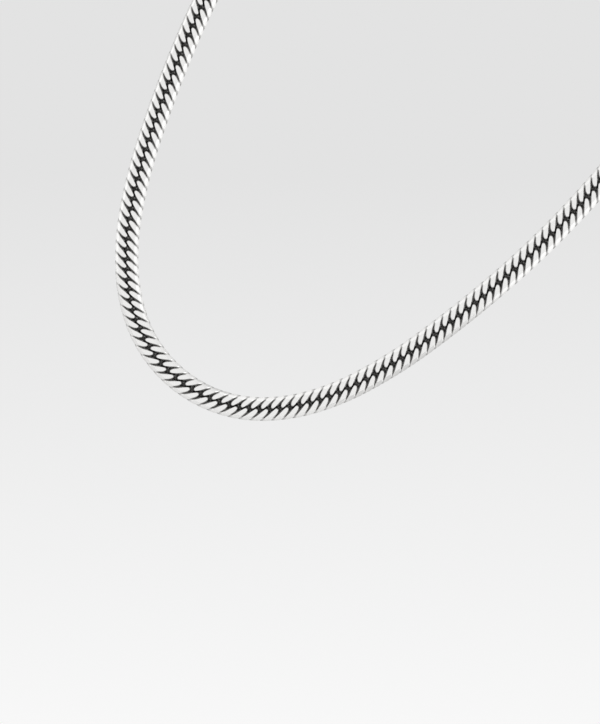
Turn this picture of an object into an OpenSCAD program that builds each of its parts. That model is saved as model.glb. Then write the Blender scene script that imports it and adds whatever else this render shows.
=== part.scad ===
// Curb chain necklace, worn shape. Millimetres and degrees.
// The loop stands in the XZ plane with its face towards -Y. The origin is at the nape, on the inner
// side of the clasp, and the chain hangs from there towards -Z.

/* [Chain] */
// Width across the face of the chain
chain_w = 8; // [7.8:0.1:8.3]
// Diameter of the wire, over the corners of its five-sided section
wire_d = 1.7; // [1.5:0.02:1.74]
// Number of links in each half of the chain
links_per_half = 77; // [75:1:78]

/* [Link] */
// How far from the link's middle its end bow lies, along the chain
bow_along = 4.2; // [4.18:0.01:4.24]
// How far the end bow spreads to each side of the chain's middle
bow_across = 0.56; // [0.52:0.01:0.6]
// How far the twist lifts the end bow out of the chain's middle plane
bow_out = 1.18; // [1.16:0.01:1.2]
// How far from the link's middle its shoulder lies, along the chain
shoulder_along = 1.69; // [1.66:0.01:1.72]
// How far the shoulder spreads to each side
shoulder_across = 2.52; // [2.5:0.01:2.56]
// How far the twist lifts the shoulder out of the chain's middle plane
shoulder_out = 1.09; // [1.06:0.01:1.12]

/* [Clasp] */
// Thickness of the clasp's body from face to face
clasp_t = 3.6; // [3:0.1:4]
// Link places that each half of the clasp takes up
clasp_places = 5; // [4:1:6]
// Distance from the middle of the clasp's eye to its body
eye_reach = 2.1; // [2:0.1:2.6]
// Width of the bevel along the body's long edges
clasp_bevel = 0.8; // [0.4:0.1:1.2]
// Cut at the body's corners, seen from the front
clasp_corner = 1.6; // [1:0.1:2.2]

/* [Hidden] */

SILVER = [0.80, 0.80, 0.79];

// One half of the loop from its lowest point upwards, as arcs that run on from each other
LEN = 0;
TURN = 1;
// length, turn
strand = [
    [14, 18],
    [14, 18],
    [16, 15.5],
    [18, 12],
    [24, 8.5],
    [32, 4.5],
    [50, 9],
];

// Moves [x, z, heading] along one arc
function step(at, len, turn) =
    let (heading = at[2] + turn)
    turn == 0
        ? [at[0] + len * cos(heading), at[1] + len * sin(heading), heading]
        : let (radius = len * 180 / (PI * turn))
            [at[0] + radius * (sin(heading) - sin(at[2])),
             at[1] - radius * (cos(heading) - cos(at[2])),
             heading];

// Moves [x, z, heading] a distance along a list of arcs
function walk(arcs, dist, at = [0, 0, 0], i = 0) =
    i == len(arcs) || dist <= 0
        ? at
        : let (part = min(dist, arcs[i][LEN]))
            walk(arcs, dist - arcs[i][LEN], step(at, part, arcs[i][TURN] * part / arcs[i][LEN]), i + 1);

function total(arcs, i = 0) = i == len(arcs) ? 0 : arcs[i][LEN] + total(arcs, i + 1);

// The arch over the nape closes the loop: it turns the strand's end level, and the rest is straight
strand_len = total(strand);
strand_end = walk(strand, strand_len);
nape_straight = 17;
arch_radius = (strand_end[0] - nape_straight) / sin(strand_end[2]);
arch_turn = 180 - strand_end[2];
arch_len = arch_radius * arch_turn * PI / 180;
half_loop = concat(strand, [[arch_len, arch_turn], [nape_straight, 0]]);
half_len = total(half_loop);
link_pitch = half_len / (links_per_half + clasp_places);
loop_height = walk(half_loop, half_len)[1];

// Lifts the loop so that the inner side of the clasp is at the origin
function above_nape(z) = z - loop_height + chain_w / 2;

// The middle of the link's wire in its five sections of one side: [along, across, out].
// A half turn about the across axis carries one end of the side to the other.
side_quarter = [
    [bow_along, bow_across, -bow_out],
    [shoulder_along, shoulder_across, -shoulder_out],
];
side_middle = [0, (chain_w - wire_d) / 2, 0];
function other_end(p) = [-p[0], p[1], -p[2]];
function other_side(p) = [-p[0], -p[1], p[2]];
link_side = concat(side_quarter, [side_middle], [other_end(side_quarter[1]), other_end(side_quarter[0])]);
link_ring = concat(link_side, [for (p = link_side) other_side(p)]);
RING = len(link_ring);
WIRE = 5;

function unit(v) = v / norm(v);

// The five corners of the wire's section. Where the wire lies at the front of the chain, a flat
// side faces front, and where it lies at the back, a flat side faces back.
function section(i) =
    let (
        p = link_ring[i],
        along = unit(link_ring[(i + 1) % RING] - link_ring[(i + RING - 1) % RING]),
        level = unit(cross([0, 0, 1], along)),
        up = cross(along, level),
        first = 90 + 90 / WIRE * (1 + sign(p[2]))
    )
    [for (k = [0:WIRE - 1])
        let (angle = first + 360 * k / WIRE)
        p + wire_d / 2 * (cos(angle) * level + sin(angle) * up)];

link_points = [for (i = [0:RING - 1]) each section(i)];

// Triangles of a ring of sections, two between neighbouring corners, from the point numbered base
function ring_faces(base) =
    [for (i = [0:RING - 1], k = [0:WIRE - 1])
        let (
            here = base + i * WIRE,
            next = base + (i + 1) % RING * WIRE,
            l = (k + 1) % WIRE
        )
        each [[here + k, next + k, next + l], [here + k, next + l, here + l]]];

// A link's points in the place with the given number, counted up from the lowest point of the loop.
// side is 1 for the right half and -1 for the left half.
function placed_link(place, side) =
    let (
        at = walk(half_loop, (place + 0.5) * link_pitch),
        along = [side * cos(at[2]), 0, sin(at[2])],
        across = [-sin(at[2]), 0, side * cos(at[2])],
        out = [0, -1, 0],
        middle = [side * at[0], 0, above_nape(at[1])]
    )
    [for (p = link_points) middle + p[0] * along + p[1] * across + p[2] * out];

module links(places, side) {
    polyhedron(
        points = [for (place = places) each placed_link(place, side)],
        faces = [for (i = [0:len(places) - 1]) each ring_faces(i * RING * WIRE)]
    );
}

module chain_right() {
    color(SILVER)
        links([for (i = [0:links_per_half - 1]) i], 1);
}

module chain_left() {
    color(SILVER)
        links([for (i = [0:links_per_half - 1]) i], -1);
}

// Rectangle with cut corners
module cut_rectangle(w, h, cut) {
    x = w / 2;
    y = h / 2;
    polygon([
        [x - cut, -y], [x, cut - y], [x, y - cut], [x - cut, y],
        [cut - x, y], [-x, y - cut], [-x, cut - y], [cut - x, -y],
    ]);
}

// Plain closed body between the two eyes, bevelled along its edges
module clasp_body() {
    body_len = 2 * ((clasp_places - 0.5) * link_pitch - eye_reach);
    translate([0, 0, chain_w / 2])
        intersection() {
            rotate([90, 0, 0])
                linear_extrude(clasp_t, center = true)
                    cut_rectangle(body_len, chain_w, clasp_corner);
            rotate([90, 0, 90])
                linear_extrude(body_len, center = true)
                    cut_rectangle(clasp_t, chain_w, clasp_bevel);
        }
}

// Each eye is the next link of its half of the chain, soldered to the body
module clasp() {
    color(SILVER)
        union() {
            clasp_body();
            links([links_per_half], 1);
            links([links_per_half], -1);
        }
}

chain_left();
chain_right();
clasp();
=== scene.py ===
"""Curb chain necklace: ground and polished links with a dark oxidised channel, a plain clasp,
and the studio around them. Lengths are in metres, except where a comment gives another unit."""

import math

import bmesh
import bpy
import numpy as np
from mathutils import Matrix, Vector


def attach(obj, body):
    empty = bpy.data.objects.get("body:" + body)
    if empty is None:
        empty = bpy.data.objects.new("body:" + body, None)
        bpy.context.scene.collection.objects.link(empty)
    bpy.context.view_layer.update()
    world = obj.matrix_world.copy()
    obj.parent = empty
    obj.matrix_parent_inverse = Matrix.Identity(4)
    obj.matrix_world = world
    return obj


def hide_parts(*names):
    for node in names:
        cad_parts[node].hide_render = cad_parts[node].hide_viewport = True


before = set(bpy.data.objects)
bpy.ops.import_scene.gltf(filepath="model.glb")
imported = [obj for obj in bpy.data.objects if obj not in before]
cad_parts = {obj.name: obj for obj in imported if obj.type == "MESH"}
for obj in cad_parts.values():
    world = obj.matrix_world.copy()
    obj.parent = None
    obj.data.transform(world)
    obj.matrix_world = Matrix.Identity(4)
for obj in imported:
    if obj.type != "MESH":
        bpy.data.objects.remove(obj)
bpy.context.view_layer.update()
MM = 0.001
FRONT = Vector((0, -1, 0))

# The loop, as in the part's source
CHAIN_W = 8 * MM
LINKS_PER_HALF = 77
CLASP_PLACES = 5
EYE_REACH = 2.1 * MM
CLASP_T = 3.6 * MM
CLASP_CORNER = 1.6 * MM
CLASP_BEVEL = 0.8 * MM
NAPE_STRAIGHT = 17 * MM
STRAND = [  # length in mm, turn in degrees, from the lowest point of the loop upwards
    (14, 18),
    (14, 18),
    (16, 15.5),
    (18, 12),
    (24, 8.5),
    (32, 4.5),
    (50, 9),
]
TRACK_POINTS = 4000

# The chain's nodes, each with its side of the loop, and how many links make one piece
HALVES = {"chain_right": 1, "chain_left": -1}
LINKS_PER_PIECE = 26

# The smooth link: points on the middle of its wire, along, across and out, in mm
BOW = (3.99, 0.58, -0.8)
SHOULDER = (1.67, 2.57, -0.89)
SIDE = (0, 3.13, 0)
SPLINE_STEPS = 200
RINGS = 64
WIRE_SIDES = 20

# Its wire's section: round at the face, and pressed wider where it faces into the chain. SPREAD_SPAN
# says where the widening sets in, from 1 for straight out of the chain to -1 for straight in, and
# OUT_FULL is the wire's height over the chain's middle plane from which that counts in full.
WIRE_R = 0.82 * MM
WIRE_SPREAD = 1.4 * MM
SPREAD_SPAN = (0.2, -0.1)
OUT_FULL = 1 * MM

# The pressed wire is held back in steps, and then smoothed. It keeps about WIRE_CLEAR from the links
# this many places away, and stays at least FOLD_SHARE of its radius from its own middle, so that it
# doesn't fold at a bend. The middle is taken as MIDDLE_POINTS points.
NEIGHBOURS = (-3, -2, -1, 1, 2, 3)
MIDDLE_POINTS = 4 * RINGS
WIRE_CLEAR = 0.001 * MM
FOLD_SHARE = 0.98
PRESS_STEPS = 14
SMOOTH_STEPS = 1

# The faces ground on the chain, as half sizes across and out. They rise a little to a crown.
CROWN_HEIGHT = 1.59 * MM
CROWN_HALF = 0.5 * MM
FACE_HEIGHT = 1.5 * MM
FACE_HALF = 2.65 * MM
BEVEL_HEIGHT = 1.01 * MM
BEVEL_HALF = 3.33 * MM
SIDE_HEIGHT = 0.32 * MM
SIDE_HALF = 3.965 * MM

# Edges that turn by more than EDGE_ANGLE are rounded, and corners nearer than WELD are joined
EDGE_ANGLE = math.radians(20)
LINK_ROUND = 0.05 * MM
LINK_ROUND_STEPS = 1
CLASP_ROUND = 0.2 * MM
CLASP_ROUND_STEPS = 3
WELD = 0.0005 * MM

# Triangles this near to the ground faces are shaded flat, and the others smooth up to these angles
GROUND_LIMIT = 0.004 * MM
LINK_SHARP = math.radians(32)
CLASP_SHARP = math.radians(40)

# Polishing takes the dark oxidation off down to the first depth, deeper along the chain's middle, and
# thins it towards the sides. There a grey painted shade is laid on, thicker between the links: painted
# shade at the chain's outline and in its gaps.
OXIDE_DEPTH = (0.01 * MM, 0.23 * MM)
OXIDE_MIDDLE = 0.01 * MM
MIDDLE_HALF = 1.3 * MM
OXIDE_SIDE = (2.6 * MM, 0.3 * MM)
OXIDE_THIN = 0.45
PAINTED_SHADE_SIDE = (3.4 * MM, 3.7 * MM)
PAINTED_SIDE_SHADE = 0.12
PAINTED_GAP_SHADE = 0.6
PAINTED_GAP_DEPTH = (0.06 * MM, 0.25 * MM)

# Colours of the metal, as linear light. The blackening turns from its high to its low colour over the
# depths of DEEP_SPAN_MM, in mm below the face: the low colour, deep in the recess, is a painted paler
# grey, painted light where little light reaches.
SILVER_COOL = (0.94, 0.94, 0.935, 1)
SILVER_WARM = (0.96, 0.95, 0.935, 1)
SILVER_DULL = (0.6, 0.6, 0.59, 1)
OXIDE_HIGH = (0.055, 0.054, 0.052, 1)
OXIDE_DEEP_PAINTED_LIGHT = (0.36, 0.357, 0.35, 1)
OXIDE_ROUGH = 0.25
DEEP_SPAN_MM = (0.5, 1.0)

# Finish of each metal: its roughness, how much its fine scratches show, and the scale of their
# pattern along each axis, where a small one draws them out
LINK_FINISH = (0.14, 0.15, (1, 1, 1))
CLASP_FINISH = (0.26, 0.8, (0.04, 1, 1))

# Noises, as features to the metre and levels of detail, and the levels between which they act
PATCH_NOISE = (900, 3)
SCRATCH_NOISE = (5000, 4)
MOTTLE_NOISE = (12, 4)
NOISE_SPAN = (0.3, 0.7)
DULL_SPAN = (0.4, 0.7)

# How far the patches change the oxide and the scratches the roughness, as shares, and the bump
OXIDE_SHARES = (0.85, 1.1)
POLISH_SHARES = (0.8, 1.3)
BUMP_STRENGTH = 0.12
BUMP_DEPTH = 0.01 * MM

# Light from the surroundings, as linear light
BACKDROP_HIGH = (0.768, 0.768, 0.768, 1)
BACKDROP_LOW = (0.94, 0.94, 0.94, 1)
SIDE_LIGHT = (0.68, 0.68, 0.68, 1)
FRONT_LIGHT = (0.9, 0.9, 0.9, 1)

# Where the surroundings change, by direction: the backdrop by the part that points up the picture,
# and what is behind and in front of the chain by the part along the row's Y axis
BACKDROP_SPAN = (-0.085, 0.082)
BACK_SPAN = (0.1, 0.7)
FRONT_SPAN = (-0.45, -0.85)

# Soft boxes: name, picture right, picture up, degrees off the front, size in m, radiance
SOFT_BOXES = [
    ("top", -0.29, 1, 76, 0.8, 0.32),
    ("right", 1, -0.2, 76, 1.05, 0.4),
    ("left", -1, 0.2, 76, 0.8, 0.4),
    ("back", 0.7, 0.7, 76, 0.8, 0.18),
    ("fill", 0.82, -0.57, 48, 0.5, 0.6),
]
BOX_DISTANCE = 0.8

# The floor, a disc of paper that fades away towards its rim
FLOOR_Z = -0.42
FLOOR_R = 0.48
FLOOR_FADE = 0.3
FLOOR_CORNERS = 96
PAPER = (0.93, 0.93, 0.93, 1)
PAPER_SHADE = 0.97
PAPER_ROUGH = 0.9

# The photograph's frame in pixels, with the lowest point of the loop in it, how the loop leans in
# it, and how far the camera stands off the chain's front, to the picture's right and up
IMAGE_W = 600
IMAGE_H = 724
APEX_X = 183.2
APEX_Y = 383.6
PX_PER_MM = 3.02
LEAN = math.radians(54.15)
TILT_RIGHT = math.radians(4.5)
TILT_UP = math.radians(-1.5)
CAMERA_DISTANCE = 1.1
SENSOR_MM = 36

# A mix node's sockets for colours
COLOUR_FIRST = 6
COLOUR_SECOND = 7
COLOUR_MIXED = 2


# Loop

def walk_loop(arcs, dist):
    """Place [x, z] and heading of the point that lies dist along the arcs."""
    x, z, heading = 0.0, 0.0, 0.0
    for length, turn in arcs:
        part = min(dist, length)
        after = heading + turn * part / length
        if turn:
            radius = length / turn
            x += radius * (math.sin(after) - math.sin(heading))
            z -= radius * (math.cos(after) - math.cos(heading))
        else:
            x += part * math.cos(heading)
            z += part * math.sin(heading)
        heading = after
        dist -= part
        if dist <= 0:
            break
    return x, z, heading


def close_loop():
    """The arcs of one half of the loop, with the arch that closes it over the nape."""
    arcs = [(length * MM, math.radians(turn)) for length, turn in STRAND]
    x, _, heading = walk_loop(arcs, sum(length for length, _ in arcs))
    arch_radius = (x - NAPE_STRAIGHT) / math.sin(heading)
    arch_turn = math.pi - heading
    return arcs + [(arch_radius * arch_turn, arch_turn), (NAPE_STRAIGHT, 0)]


HALF_LOOP = close_loop()
HALF_LEN = sum(length for length, _ in HALF_LOOP)
PITCH = HALF_LEN / (LINKS_PER_HALF + CLASP_PLACES)
LOOP_HEIGHT = walk_loop(HALF_LOOP, HALF_LEN)[1]
APEX_Z = CHAIN_W / 2 - LOOP_HEIGHT

# The loop's middle line by distance from its lowest point: x, z and heading
TRACK_DIST = np.linspace(0, HALF_LEN, TRACK_POINTS)
TRACK = np.array([walk_loop(HALF_LOOP, dist) for dist in TRACK_DIST]).T


def bent_to_loop(points, place, side):
    """Carries points [along, across, out] of the link with this number onto the curved loop. side is
    1 for the right half and -1 for the left half."""
    dist = (place + 0.5) * PITCH + points[:, 0]
    beyond = np.sign(dist)
    x, z, heading = (np.interp(np.abs(dist), TRACK_DIST, row) for row in TRACK)
    x, heading = x * beyond, heading * beyond
    across = points[:, 1]
    return np.stack([
        side * x - np.sin(heading) * across,
        -points[:, 2],
        z + APEX_Z + side * np.cos(heading) * across,
    ], axis=1)


# Shapes

def unit(rows):
    """The rows, each at length 1."""
    return rows / np.linalg.norm(rows, axis=1)[:, None]


def ramp(value, start, end):
    """Smooth step from 0 at start to 1 at end."""
    share = np.clip((value - start) / (end - start), 0, 1)
    return share * share * (3 - 2 * share)


def nearest(points, line):
    """Distance from each point to the nearest point of the line."""
    gaps = points[..., None, :] - line
    return np.sqrt((gaps**2).sum(axis=-1).min(axis=-1))


def closed_spline(knots, steps):
    """Smooth closed curve through the knots, with the same number of steps between each two."""
    after = np.roll(knots, -1, axis=0)
    span = np.sqrt(np.linalg.norm(after - knots, axis=1))
    slope = (after - knots) / span[:, None]
    count = len(knots)
    matrix = np.zeros((count, count))
    for i in range(count):
        matrix[i, i - 1] = span[i - 1]
        matrix[i, i] = 2 * (span[i - 1] + span[i])
        matrix[i, (i + 1) % count] = span[i]
    bend = np.linalg.solve(matrix, 6 * (slope - np.roll(slope, 1, axis=0)))
    share = np.arange(steps)[:, None] / steps
    rows = []
    for i in range(count):
        j = (i + 1) % count
        here = (1 - share) ** 3 - (1 - share)
        there = share**3 - share
        line = (1 - share) * knots[i] + share * knots[j]
        rows.append(line + span[i] ** 2 / 6 * (here * bend[i] + there * bend[j]))
    return np.concatenate(rows)


def evenly(curve, count):
    """The closed curve as count points at even distances."""
    closed = np.concatenate([curve, curve[:1]])
    reach = np.concatenate([[0], np.cumsum(np.linalg.norm(np.diff(closed, axis=0), axis=1))])
    wanted = np.arange(count) * reach[-1] / count
    return np.stack([np.interp(wanted, reach, row) for row in closed.T], axis=1)


def scene_object(name, data):
    """A new object in the scene that shows the data: a mesh, a light or a camera."""
    thing = bpy.data.objects.new(name, data)
    bpy.context.scene.collection.objects.link(thing)
    return thing


def mesh_object(name, points, faces):
    """A new object in the scene, from its points and faces."""
    mesh = bpy.data.meshes.new(name)
    mesh.from_pydata([tuple(p) for p in points], [], faces)
    mesh.update()
    return scene_object(name, mesh)


def prism(name, outline, reach, place):
    """A prism over the outline. place(along, a, b) turns a corner of it into a point."""
    count = len(outline)
    points = [place(end * reach, a, b) for end in (-1, 1) for a, b in outline]
    faces = [tuple(range(count - 1, -1, -1)), tuple(range(count, 2 * count))]
    for i in range(count):
        j = (i + 1) % count
        faces.append((i, j, count + j, count + i))
    thing = mesh_object(name, points, faces)
    shell = bmesh.new()
    shell.from_mesh(thing.data)
    bmesh.ops.recalc_face_normals(shell, faces=shell.faces)
    shell.to_mesh(thing.data)
    shell.free()
    return thing


def evaluated(thing):
    """The thing's mesh with its modifiers applied, cut into triangles, without collapsed ones."""
    depsgraph = bpy.context.evaluated_depsgraph_get()
    mesh = bpy.data.meshes.new_from_object(thing.evaluated_get(depsgraph))
    cut = bmesh.new()
    cut.from_mesh(mesh)
    bmesh.ops.remove_doubles(cut, verts=cut.verts, dist=WELD)
    bmesh.ops.triangulate(cut, faces=cut.faces)
    cut.to_mesh(mesh)
    cut.free()
    points = np.empty(len(mesh.vertices) * 3)
    mesh.vertices.foreach_get("co", points)
    corners = np.empty(len(mesh.polygons) * 3, dtype=np.int64)
    mesh.polygons.foreach_get("vertices", corners)
    bpy.data.meshes.remove(mesh)
    return points.reshape(-1, 3), corners.reshape(-1, 3)


def common(body, limit, rounding, steps):
    """What body and limit share, its edges rounded, as points and triangles. Both are used up."""
    cut = body.modifiers.new("common", "BOOLEAN")
    cut.operation = "INTERSECT"
    cut.solver = "EXACT"
    cut.object = limit
    edge = body.modifiers.new("edge", "BEVEL")
    edge.width = rounding
    edge.segments = steps
    edge.limit_method = "ANGLE"
    edge.angle_limit = EDGE_ANGLE
    result = evaluated(body)
    for thing in (body, limit):
        bpy.data.objects.remove(thing)
    return result


# Link

def link_centre(count):
    """The middle of the link's wire: a ring drawn out along the chain and twisted."""
    quarter = np.array([BOW, SHOULDER]) * MM
    side = np.concatenate([quarter, [np.array(SIDE) * MM], quarter[::-1] * (-1, 1, -1)])
    ring = np.concatenate([side, side * (-1, -1, 1)])
    return evenly(closed_spline(ring, SPLINE_STEPS), count)


def pressed_radius(centre, spoke, angle):
    """The wire's radius along each spoke. It is wider towards the link's ends, on the side that faces
    into the chain, as far as a neighbour's share of the room and the wire's own bends let it."""
    endward = np.abs(centre[:, :1]) / np.abs(centre[:, 0]).max()
    outward = np.clip(centre[:, 2:] / OUT_FULL, -1, 1) * np.sin(angle)
    spread = WIRE_SPREAD * endward * ramp(outward, *SPREAD_SPAN)
    radius = WIRE_R + spread * np.abs(np.cos(angle))
    own = link_centre(MIDDLE_POINTS)
    others = np.concatenate([own + [step * PITCH, 0, 0] for step in NEIGHBOURS])
    for _ in range(PRESS_STEPS):
        points = centre[:, None] + spoke * radius[..., None]
        too_near = radius + WIRE_CLEAR - nearest(points, others)
        folded = FOLD_SHARE * radius - nearest(points, own)
        radius -= np.maximum(np.maximum(too_near, folded), 0) / 2
    for _ in range(SMOOTH_STEPS):
        beside = sum(np.roll(radius, step, axis) for step in (-1, 1) for axis in (0, 1)) / 4
        radius = (radius + beside) / 2
    return radius


def pressed_wire():
    """The link before grinding."""
    centre = link_centre(RINGS)
    along = unit(np.roll(centre, -1, axis=0) - np.roll(centre, 1, axis=0))
    level = unit(np.cross([0, 0, 1.0], along))
    up = np.cross(along, level)
    angle = np.arange(WIRE_SIDES) * 2 * math.pi / WIRE_SIDES
    spoke = level[:, None] * np.cos(angle)[:, None] + up[:, None] * np.sin(angle)[:, None]
    points = centre[:, None] + spoke * pressed_radius(centre, spoke, angle)[..., None]
    faces = []
    for i in range(RINGS):
        here, there = i * WIRE_SIDES, (i + 1) % RINGS * WIRE_SIDES
        for k in range(WIRE_SIDES):
            other = (k + 1) % WIRE_SIDES
            faces.append((here + k, here + other, there + other, there + k))
    return mesh_object("wire", points.reshape(-1, 3), faces)


def envelope_outline():
    """The chain's ground section as corners [across, out], once round."""
    quarter = [
        (SIDE_HALF, SIDE_HEIGHT),
        (BEVEL_HALF, BEVEL_HEIGHT),
        (FACE_HALF, FACE_HEIGHT),
        (CROWN_HALF, CROWN_HEIGHT),
    ]
    top = quarter + [(-across, out) for across, out in reversed(quarter)]
    return top + [(-across, -out) for across, out in top]


def recess_depth(points):
    """How far each point lies below the chain's ground section."""
    outline = envelope_outline()
    depth = np.full(len(points), np.inf)
    for corner, after in zip(outline, outline[1:] + outline[:1]):
        normal = np.array([after[1] - corner[1], corner[0] - after[0]])
        normal /= np.linalg.norm(normal)
        depth = np.minimum(depth, (np.array(corner) - points[:, 1:]) @ normal)
    return depth


def oxide_and_shade_share(across, recess):
    """How black the silver is at a distance from the chain's middle and a depth below its face, from its
    oxidation and from the grey painted shade along its sides.
    """
    polished = OXIDE_MIDDLE * ramp(across, MIDDLE_HALF, 0)
    black = ramp(recess - polished, *OXIDE_DEPTH)
    thinned = OXIDE_THIN + (1 - OXIDE_THIN) * ramp(across, *OXIDE_SIDE)
    # A grey painted shade along the sides, thicker deeper between the links, where the outline and the
    # gaps fall in shade
    painted_shade = ramp(across, *PAINTED_SHADE_SIDE) * (PAINTED_SIDE_SHADE + PAINTED_GAP_SHADE * ramp(recess, *PAINTED_GAP_DEPTH))
    return np.maximum(black * thinned, painted_shade)


def ground_link():
    """One link in its own axes, ground to the chain's section: its points, its triangles, which of them
    are ground flat, and its points' depth below the face and share of oxidation and painted shade."""
    limit = prism("envelope", envelope_outline(), CHAIN_W, lambda along, across, out: (along, across, out))
    points, corners = common(pressed_wire(), limit, LINK_ROUND, LINK_ROUND_STEPS)
    recess = recess_depth(points)
    ground = recess[corners].max(axis=1) < GROUND_LIMIT
    return points, corners, ground, recess, oxide_and_shade_share(np.abs(points[:, 1]), recess)


# Clasp

def cut_rectangle(w, h, cut):
    """Corners of a rectangle with cut corners, once round."""
    quarter = [(w / 2, h / 2 - cut), (w / 2 - cut, h / 2)]
    top = quarter + [(-a, b) for a, b in reversed(quarter)]
    return top + [(-a, -b) for a, b in top]


def clasp_body():
    """The clasp's plain body, bevelled as in the part's source, with the same parts as a link's."""
    length = 2 * ((CLASP_PLACES - 0.5) * PITCH - EYE_REACH)
    mid = CHAIN_W / 2
    face = cut_rectangle(length, CHAIN_W, CLASP_CORNER)
    section = cut_rectangle(CLASP_T, CHAIN_W, CLASP_BEVEL)
    body = prism("body", face, CLASP_T / 2, lambda y, x, z: (x, y, z + mid))
    limit = prism("section", section, length, lambda x, y, z: (x, y, z + mid))
    points, corners = common(body, limit, CLASP_ROUND, CLASP_ROUND_STEPS)
    bare = np.zeros(len(points))
    return points, corners, np.zeros(len(corners), dtype=bool), bare, bare


# Pieces

def joined(name, parts, sharp):
    """One object from a list of parts in the row's frame, each with what ground_link gives."""
    points, corners, ground, recess, oxide_and_shade = (list(rows) for rows in zip(*parts))
    first = np.cumsum([0] + [len(p) for p in points[:-1]])
    corners = np.concatenate([rows + start for rows, start in zip(corners, first)])
    points = np.concatenate(points)
    mesh = bpy.data.meshes.new(name)
    mesh.vertices.add(len(points))
    mesh.vertices.foreach_set("co", points.ravel())
    mesh.loops.add(corners.size)
    mesh.loops.foreach_set("vertex_index", corners.ravel())
    mesh.polygons.add(len(corners))
    mesh.polygons.foreach_set("loop_start", np.arange(0, corners.size, 3))
    mesh.update(calc_edges=True)
    mesh.shade_smooth()
    mesh.set_sharp_from_angle(angle=sharp)
    flat = mesh.attributes.new("sharp_face", "BOOLEAN", "FACE")
    flat.data.foreach_set("value", np.concatenate(ground))
    depth = mesh.attributes.new("recess_mm", "FLOAT", "POINT")
    depth.data.foreach_set("value", np.concatenate(recess) / MM)
    # The share of oxidation and of painted shade at the chain's sides
    share = mesh.attributes.new("oxide_and_shade", "FLOAT", "POINT")
    share.data.foreach_set("value", np.concatenate(oxide_and_shade))
    return scene_object(name, mesh)


def placed(link, place, side):
    """The link, carried to its place on the loop."""
    return (bent_to_loop(link[0], place, side),) + link[1:]


def chain_pieces(link, node, side):
    """The node's half of the chain, as pieces of up to LINKS_PER_PIECE links."""
    made = []
    for first in range(0, LINKS_PER_HALF, LINKS_PER_PIECE):
        places = range(first, min(first + LINKS_PER_PIECE, LINKS_PER_HALF))
        name = f"{node.replace('chain', 'links')}_{len(made) + 1}"
        made.append(joined(name, [placed(link, place, side) for place in places], LINK_SHARP))
    return made


def dress(piece, node, metal):
    """Puts a piece in the place of its node."""
    piece.data.materials.append(metal)
    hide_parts(node)
    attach(piece, "root")


# Materials

def wire_up(tree, *pairs):
    """Links each pair of sockets."""
    for start, end in pairs:
        tree.links.new(start, end)


def attribute(tree, name):
    """A value kept on the mesh's points."""
    node = tree.nodes.new("ShaderNodeAttribute")
    node.attribute_name = name
    return node.outputs["Fac"]


def map_range(tree, value, low, high, to_low, to_high, kind="LINEAR"):
    """The value, carried from the range low to high to the range to_low to to_high."""
    node = tree.nodes.new("ShaderNodeMapRange")
    node.interpolation_type = kind
    numbers = {"From Min": low, "From Max": high, "To Min": to_low, "To Max": to_high}
    for name, number in numbers.items():
        node.inputs[name].default_value = number
    tree.links.new(value, node.inputs["Value"])
    return node.outputs["Result"]


def noise(tree, coords, scale, detail):
    """A noise whose features are about 1/scale metres across."""
    node = tree.nodes.new("ShaderNodeTexNoise")
    node.inputs["Scale"].default_value = scale
    node.inputs["Detail"].default_value = detail
    tree.links.new(coords, node.inputs["Vector"])
    return node.outputs["Fac"]


def mix_colour(tree, share, first, second):
    """Mixes two colours. Each is a plain colour or another node's output."""
    node = tree.nodes.new("ShaderNodeMix")
    node.data_type = "RGBA"
    for place, colour in ((COLOUR_FIRST, first), (COLOUR_SECOND, second)):
        if isinstance(colour, tuple):
            node.inputs[place].default_value = colour
        else:
            tree.links.new(colour, node.inputs[place])
    tree.links.new(share, node.inputs["Factor"])
    return node.outputs[COLOUR_MIXED]


def math_node(tree, operation, first, second):
    """Works with two values. Each is a plain number or another node's output."""
    node = tree.nodes.new("ShaderNodeMath")
    node.operation = operation
    for socket, value in zip(node.inputs, (first, second)):
        if isinstance(value, (int, float)):
            socket.default_value = value
        else:
            tree.links.new(value, socket)
    return node.outputs["Value"]


def new_material(name):
    """A new material, with its node tree, its shader and the coordinates of what it is on."""
    material = bpy.data.materials.new(name)
    material.use_nodes = True
    tree = material.node_tree
    coords = tree.nodes.new("ShaderNodeTexCoord").outputs["Object"]
    return material, tree, tree.nodes["Principled BSDF"], coords


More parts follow.
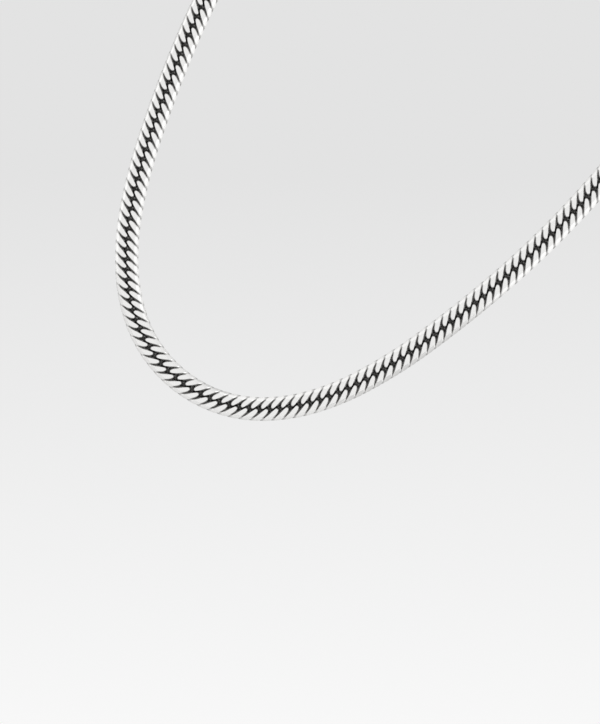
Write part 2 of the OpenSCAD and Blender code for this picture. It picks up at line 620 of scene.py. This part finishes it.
def silver(name, polish, grain, stretch):
    """Polished silver, black where the attribute of oxidation and painted shade says so, and painted a
    paler grey deep in the recess, as painted light. polish is its roughness, grain how much its fine
    scratches show, and stretch their pattern's scale along each axis."""
    material, tree, shader, coords = new_material(name)
    drawn = tree.nodes.new("ShaderNodeMapping")
    drawn.inputs["Scale"].default_value = stretch
    tree.links.new(coords, drawn.inputs["Vector"])
    patches = noise(tree, coords, *PATCH_NOISE)
    scratches = noise(tree, drawn.outputs["Vector"], *SCRATCH_NOISE)

    worn = map_range(tree, patches, *NOISE_SPAN, *OXIDE_SHARES)
    # The attribute holds the oxidation and the grey painted shade at the chain's sides
    oxide_and_shade = math_node(tree, "MULTIPLY", attribute(tree, "oxide_and_shade"), worn)
    # The colour deep in the recess is a painted paler grey, painted light where little light reaches
    deep = map_range(tree, attribute(tree, "recess_mm"), *DEEP_SPAN_MM, 0, 1, "SMOOTHSTEP")
    black = mix_colour(tree, deep, OXIDE_HIGH, OXIDE_DEEP_PAINTED_LIGHT)
    clean = mix_colour(tree, patches, SILVER_COOL, SILVER_WARM)
    dull = map_range(tree, scratches, *DULL_SPAN, 0, grain)
    colour = mix_colour(tree, oxide_and_shade, mix_colour(tree, dull, clean, SILVER_DULL), black)
    fine = map_range(tree, scratches, *NOISE_SPAN, *(polish * share for share in POLISH_SHARES))
    rough = math_node(tree, "ADD", fine, math_node(tree, "MULTIPLY", oxide_and_shade, OXIDE_ROUGH))
    bump = tree.nodes.new("ShaderNodeBump")
    bump.inputs["Strength"].default_value = BUMP_STRENGTH
    bump.inputs["Distance"].default_value = BUMP_DEPTH
    shader.inputs["Metallic"].default_value = 1.0
    wire_up(
        tree,
        (colour, shader.inputs["Base Color"]),
        (rough, shader.inputs["Roughness"]),
        (scratches, bump.inputs["Height"]),
        (bump.outputs["Normal"], shader.inputs["Normal"]),
    )
    return material


def paper(name, colour, fade, reach):
    """Matt paper with a faint mottle, that fades away between the distances fade and reach."""
    material, tree, shader, coords = new_material(name)
    shade = tuple(PAPER_SHADE * part for part in colour[:3]) + (1,)
    mottle = mix_colour(tree, noise(tree, coords, *MOTTLE_NOISE), colour, shade)
    distance = tree.nodes.new("ShaderNodeVectorMath")
    distance.operation = "LENGTH"
    tree.links.new(coords, distance.inputs[0])
    there = map_range(tree, distance.outputs["Value"], fade, reach, 1, 0, "SMOOTHSTEP")
    wire_up(tree, (mottle, shader.inputs["Base Color"]), (there, shader.inputs["Alpha"]))
    shader.inputs["Roughness"].default_value = PAPER_ROUGH
    return material


# Studio

def image_axes():
    """The picture's right and up directions in the row's frame."""
    right = Vector((math.sin(LEAN), 0, math.cos(LEAN)))
    up = Vector((-math.cos(LEAN), 0, math.sin(LEAN)))
    return right, up


def picture_middle():
    """The point of the row's frame that lies in the middle of the picture."""
    right, up = image_axes()
    across = (IMAGE_W / 2 - APEX_X) / PX_PER_MM * MM
    rise = (APEX_Y - IMAGE_H / 2) / PX_PER_MM * MM
    return Vector((0, 0, APEX_Z)) + across * right + rise * up


def surroundings():
    """Light from all around: a backdrop that grows paler down the picture, bright in front of the
    chain and darker at its sides."""
    world = bpy.data.worlds.new("studio")
    world.use_nodes = True
    tree = world.node_tree
    direction = tree.nodes.new("ShaderNodeTexCoord").outputs["Generated"]
    rise = tree.nodes.new("ShaderNodeVectorMath")
    rise.operation = "DOT_PRODUCT"
    rise.inputs[1].default_value = image_axes()[1]
    parts = tree.nodes.new("ShaderNodeSeparateXYZ")
    wire_up(tree, (direction, rise.inputs[0]), (direction, parts.inputs["Vector"]))
    high = map_range(tree, rise.outputs["Value"], *BACKDROP_SPAN, 0, 1)
    backdrop = mix_colour(tree, high, BACKDROP_LOW, BACKDROP_HIGH)
    behind = map_range(tree, parts.outputs["Y"], *BACK_SPAN, 0, 1, "SMOOTHSTEP")
    before = map_range(tree, parts.outputs["Y"], *FRONT_SPAN, 0, 1, "SMOOTHSTEP")
    colour = mix_colour(tree, before, mix_colour(tree, behind, SIDE_LIGHT, backdrop), FRONT_LIGHT)
    tree.links.new(colour, tree.nodes["Background"].inputs["Color"])
    bpy.context.scene.world = world
    bpy.context.scene.view_settings.view_transform = "Standard"


def soft_box(name, toward, size, radiance):
    """A square light that faces the middle of the picture from the direction toward. The metal
    reflects it, and the camera doesn't see it."""
    data = bpy.data.lights.new(name, "AREA")
    data.shape = "SQUARE"
    data.size = size
    data.energy = radiance * math.pi * size * size
    thing = scene_object(name, data)
    thing.location = picture_middle() + BOX_DISTANCE * toward.normalized()
    thing.rotation_euler = toward.to_track_quat("Z", "Y").to_euler()
    thing.visible_camera = False


def soft_boxes():
    """The lights that SOFT_BOXES lists."""
    right, up = image_axes()
    for name, across, rise, off_front, size, radiance in SOFT_BOXES:
        tilt = math.radians(off_front)
        toward = math.cos(tilt) * FRONT + math.sin(tilt) * (across * right + rise * up).normalized()
        soft_box(name, toward, size, radiance)


def floor():
    """A level disc of pale paper, far below the chain."""
    angles = np.linspace(0, 2 * math.pi, FLOOR_CORNERS, endpoint=False)
    rim = [(FLOOR_R * math.cos(angle), FLOOR_R * math.sin(angle), 0) for angle in angles]
    thing = mesh_object("floor", rim, [tuple(range(len(rim)))])
    thing.location = (0, 0, FLOOR_Z)
    thing.data.materials.append(paper("floor_paper", PAPER, FLOOR_FADE, FLOOR_R))


def camera():
    """The photograph's view. The picture is taller than wide, so the sensor spans its height."""
    right, up = image_axes()
    data = bpy.data.cameras.new("camera")
    data.sensor_width = SENSOR_MM
    data.lens = SENSOR_MM * CAMERA_DISTANCE / (IMAGE_H / PX_PER_MM * MM)
    thing = scene_object("camera", data)
    toward = (FRONT + TILT_RIGHT * right + TILT_UP * up).normalized()
    right = (right - right.dot(toward) * toward).normalized()
    up = toward.cross(right)
    thing.matrix_world = Matrix((right, up, toward)).transposed().to_4x4()
    thing.location = picture_middle() + CAMERA_DISTANCE * toward
    bpy.context.scene.camera = thing


link = ground_link()
link_metal = silver("link_silver", *LINK_FINISH)
clasp_metal = silver("clasp_silver", *CLASP_FINISH)
for node, side in HALVES.items():
    for piece in chain_pieces(link, node, side):
        dress(piece, node, link_metal)
eyes = [placed(link, LINKS_PER_HALF, side) for side in HALVES.values()]
dress(joined("clasp_eyes", eyes, LINK_SHARP), "clasp", link_metal)
dress(joined("clasp_box", [clasp_body()], CLASP_SHARP), "clasp", clasp_metal)

surroundings()
soft_boxes()
floor()
camera()
